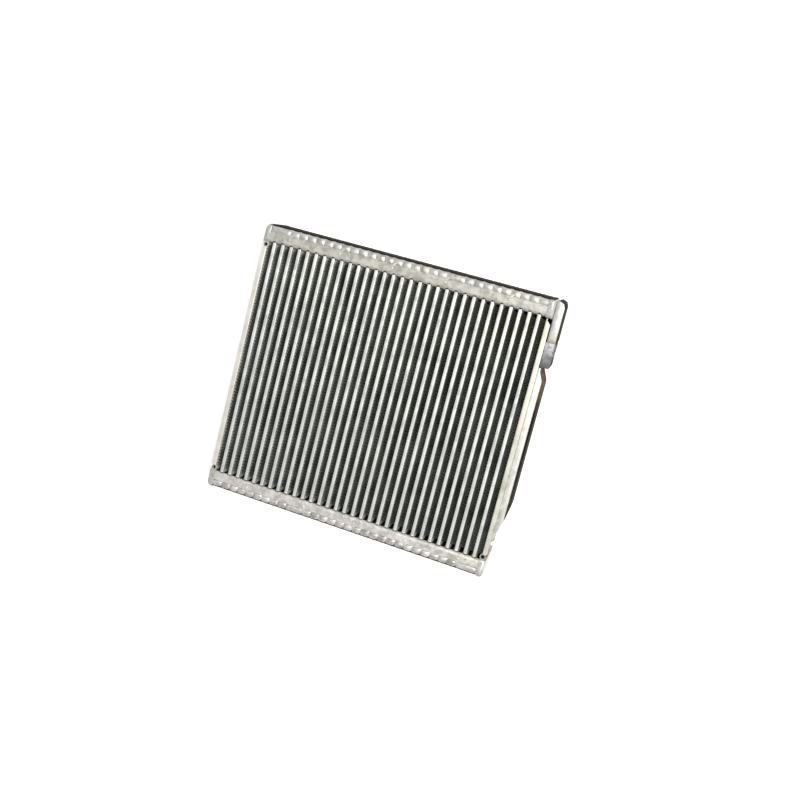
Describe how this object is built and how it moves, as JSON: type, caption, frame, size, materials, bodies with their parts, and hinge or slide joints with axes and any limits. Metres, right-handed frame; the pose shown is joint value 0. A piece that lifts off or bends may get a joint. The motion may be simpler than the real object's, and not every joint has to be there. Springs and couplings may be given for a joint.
{
  "type": "evaporator core",
  "caption": "Brazed aluminium evaporator core: flat tubes and folded fins between two ribbed tanks, with side plates, refrigerant ducts and a connector block.",
  "frame": {"origin": "middle of the overall box in X and Y, on the plane of the back, on which the core lies", "axes": "+X along the tanks towards the connector block, +Y along the tubes towards the top tank, +Z from the back of the core to its front"},
  "size_m": [0.2568, 0.2332, 0.0426],
  "materials": {
    "tube_aluminium": "satin brazed aluminium tube with fine drawing lines",
    "fin_aluminium": "thin folded strip, shaded between the tubes",
    "header_aluminium": "satin brazed sheet with a rolled edge",
    "tank_aluminium": "satin brazed sheet, slightly dulled",
    "inner_aluminium": "plain mill sheet inside the tanks and the duct",
    "cap_aluminium": "drawn sheet with a brushed edge",
    "side_aluminium": "creamy satin sheet",
    "duct_aluminium": "satin pressed shell",
    "block_aluminium": "machined block with fine vertical tool marks"
  },
  "bodies": {
    "root": {"flat_tube_01": "tube_aluminium", "flat_tube_02": "tube_aluminium", "flat_tube_03": "tube_aluminium", "flat_tube_04": "tube_aluminium", "flat_tube_05": "tube_aluminium", "flat_tube_06": "tube_aluminium", "flat_tube_07": "tube_aluminium", "flat_tube_08": "tube_aluminium", "flat_tube_09": "tube_aluminium", "flat_tube_10": "tube_aluminium", "flat_tube_11": "tube_aluminium", "flat_tube_12": "tube_aluminium", "flat_tube_13": "tube_aluminium", "flat_tube_14": "tube_aluminium", "flat_tube_15": "tube_aluminium", "flat_tube_16": "tube_aluminium", "flat_tube_17": "tube_aluminium", "flat_tube_18": "tube_aluminium", "flat_tube_19": "tube_aluminium", "flat_tube_20": "tube_aluminium", "flat_tube_21": "tube_aluminium", "flat_tube_22": "tube_aluminium", "flat_tube_23": "tube_aluminium", "flat_tube_24": "tube_aluminium", "flat_tube_25": "tube_aluminium", "flat_tube_26": "tube_aluminium", "flat_tube_27": "tube_aluminium", "flat_tube_28": "tube_aluminium", "flat_tube_29": "tube_aluminium", "flat_tube_30": "tube_aluminium", "flat_tube_31": "tube_aluminium", "fins_left_pass": "fin_aluminium", "fins_middle_pass": "fin_aluminium", "fins_right_pass": "fin_aluminium", "top_header_plate": "header_aluminium", "bottom_header_plate": "header_aluminium", "top_tank_cover": "tank_aluminium", "bottom_tank_cover": "tank_aluminium", "top_partition": "inner_aluminium", "bottom_partition": "inner_aluminium", "top_back_baffle": "inner_aluminium", "bottom_front_baffle": "inner_aluminium", "bottom_back_baffle": "inner_aluminium", "duct_foot": "inner_aluminium", "feed_tube": "inner_aluminium", "top_left_cap": "cap_aluminium", "top_right_cap": "cap_aluminium", "bottom_left_cap": "cap_aluminium", "bottom_right_cap": "cap_aluminium", "left_side_plate": "side_aluminium", "right_side_plate": "side_aluminium", "upper_duct": "duct_aluminium", "lower_duct": "duct_aluminium", "connector_block": "block_aluminium"}
  },
  "joints": []
}
